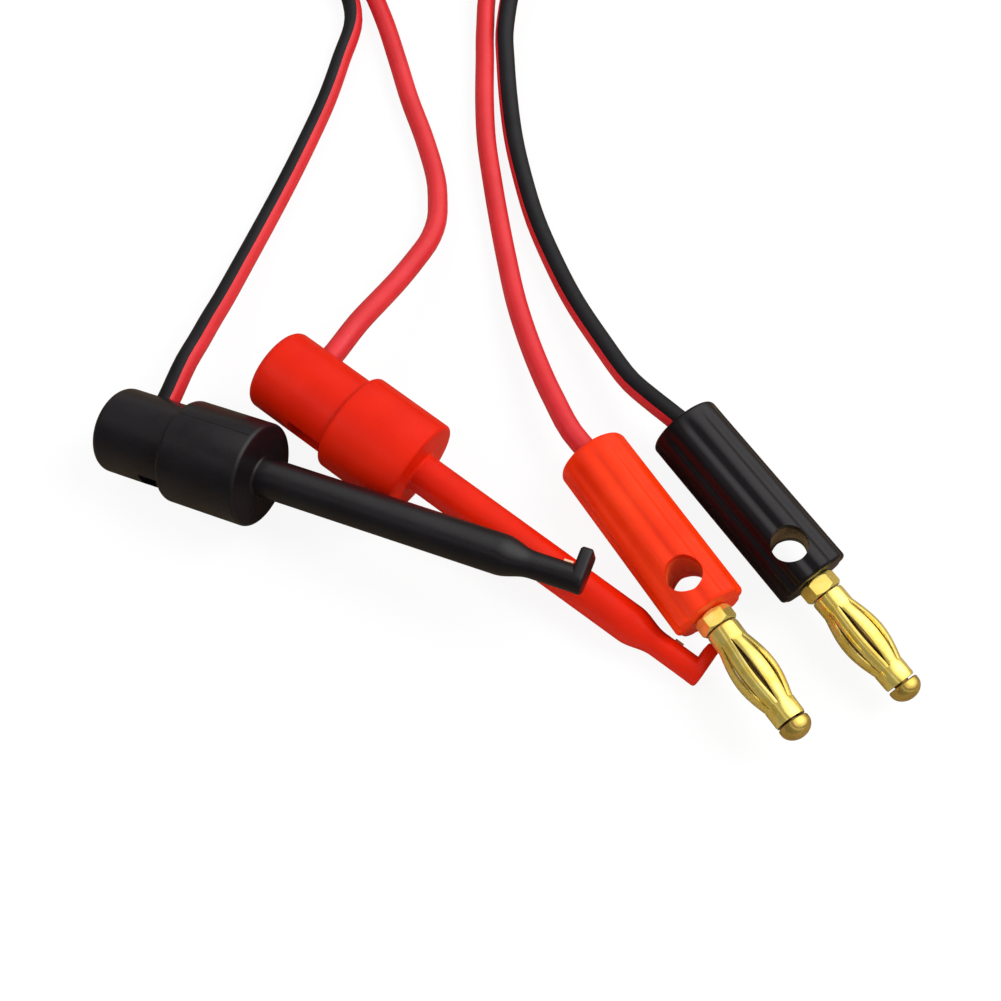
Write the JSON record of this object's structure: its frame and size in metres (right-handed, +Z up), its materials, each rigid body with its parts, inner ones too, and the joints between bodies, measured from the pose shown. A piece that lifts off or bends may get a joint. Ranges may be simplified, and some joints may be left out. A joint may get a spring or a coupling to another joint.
{
  "type": "test lead with hook clip",
  "caption": "Red and black test lead: sprung hook clips at one end and stacking banana plugs at the other, joined by a thin twin wire coiled behind.",
  "frame": {"origin": "on the floor under the middle of the clips' and plugs' footprint", "axes": "+Z up; +X to the right from the clips to the plugs; +Y away, towards the coiled wire"},
  "size_m": [0.0886, 0.1718, 0.0131],
  "materials": {
    "black_plastic": "satin black nylon",
    "red_plastic": "glossy orange red nylon",
    "black_wire": "soft PVC, one half of the twin wire",
    "red_wire": "soft PVC, one half of the twin wire",
    "gold_plated_brass": "polished gold plate",
    "brass": "turned",
    "copper": "bright copper plate",
    "spring_steel": "bright wire"
  },
  "bodies": {
    "lead": {"black_clip_barrel": "black_plastic", "black_spring_bush": "brass", "black_jaw_spring": "spring_steel", "black_plug_sleeve": "black_plastic", "black_plug_core": "brass", "black_plug_pin": "gold_plated_brass", "black_pin_cap": "gold_plated_brass", "black_plug_wire_end": "black_wire", "black_clip_tail": "black_wire", "black_plug_tail": "black_wire", "red_clip_barrel": "red_plastic", "red_spring_bush": "brass", "red_jaw_spring": "spring_steel", "red_plug_sleeve": "red_plastic", "red_plug_core": "brass", "red_plug_pin": "gold_plated_brass", "red_pin_cap": "gold_plated_brass", "red_plug_wire_end": "red_wire", "red_clip_tail": "red_wire", "red_plug_tail": "red_wire", "cord_coil": "red_wire"},
    "black_grip": {"black_clip_grip": "black_plastic", "black_contact_rod": "copper", "black_solder_ferrule": "brass", "black_clip_wire_end": "black_wire"},
    "black_basket": {"black_spring_basket": "gold_plated_brass"},
    "red_grip": {"red_clip_grip": "red_plastic", "red_contact_rod": "copper", "red_solder_ferrule": "brass", "red_clip_wire_end": "red_wire"},
    "red_basket": {"red_spring_basket": "gold_plated_brass"}
  },
  "joints": [
    {"name": "black_grip_slide", "type": "slide", "parent": "lead", "child": "black_grip", "axis": [-0.9168, 0.3825, -0.1149], "range_m": [0, 0.004], "stiffness_N_per_m": 400, "deforming": ["black_jaw_spring"]},
    {"name": "black_basket_spin", "type": "hinge", "parent": "lead", "child": "black_basket", "pos_m": [0.03894, -0.01132, 0.00378], "axis": [0.5701, -0.8199, -0.0523], "continuous": true},
    {"name": "red_grip_slide", "type": "slide", "parent": "lead", "child": "red_grip", "axis": [-0.8007, 0.5876, 0.1167], "range_m": [-0.0017, 0.0023], "stiffness_N_per_m": 400, "deforming": ["red_jaw_spring"]},
    {"name": "red_basket_spin", "type": "hinge", "parent": "lead", "child": "red_basket", "pos_m": [0.02688, -0.01584, 0.00554], "axis": [0.5141, -0.8566, 0.0454], "continuous": true}
  ]
}
